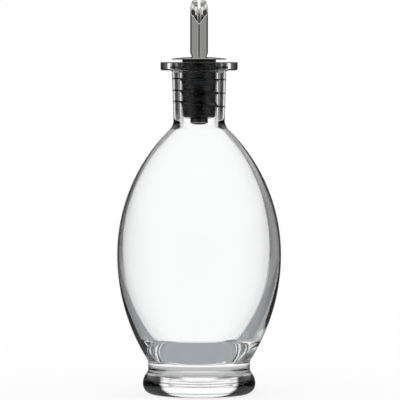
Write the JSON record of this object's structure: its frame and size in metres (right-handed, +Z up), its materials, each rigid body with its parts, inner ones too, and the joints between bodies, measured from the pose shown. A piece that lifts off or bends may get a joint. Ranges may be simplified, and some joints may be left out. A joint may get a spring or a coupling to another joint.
{
  "type": "oil bottle",
  "caption": "Clear egg-shaped glass oil bottle on a thick solid foot, its flanged mouth closed by a finned black stopper that carries a slant-cut steel pouring spout.",
  "frame": {"origin": "middle of the standing face, on the bottle's axis", "axes": "+Z up along the bottle's axis; the spout's low keel faces -Y and its two tips are on the +Y side"},
  "size_m": [0.08, 0.08, 0.1922],
  "materials": {
    "clear_glass": "clear, fire-polished",
    "black_rubber": "smooth black, half gloss",
    "polished_steel": "polished stainless steel"
  },
  "bodies": {
    "bottle": {"glass_bottle": "clear_glass"},
    "stopper": {"stopper": "black_rubber"},
    "spout": {"pour_spout": "polished_steel", "collar_disc": "polished_steel"}
  },
  "joints": [
    {"name": "pourer_lift", "type": "slide", "parent": "bottle", "child": "stopper", "axis": [0, 0, 1], "range_m": [-0.00105, 0.06]},
    {"name": "spout_turn", "type": "hinge", "parent": "stopper", "child": "spout", "pos_m": [0, 0, 0.15], "axis": [0, 0, 1], "continuous": true}
  ]
}
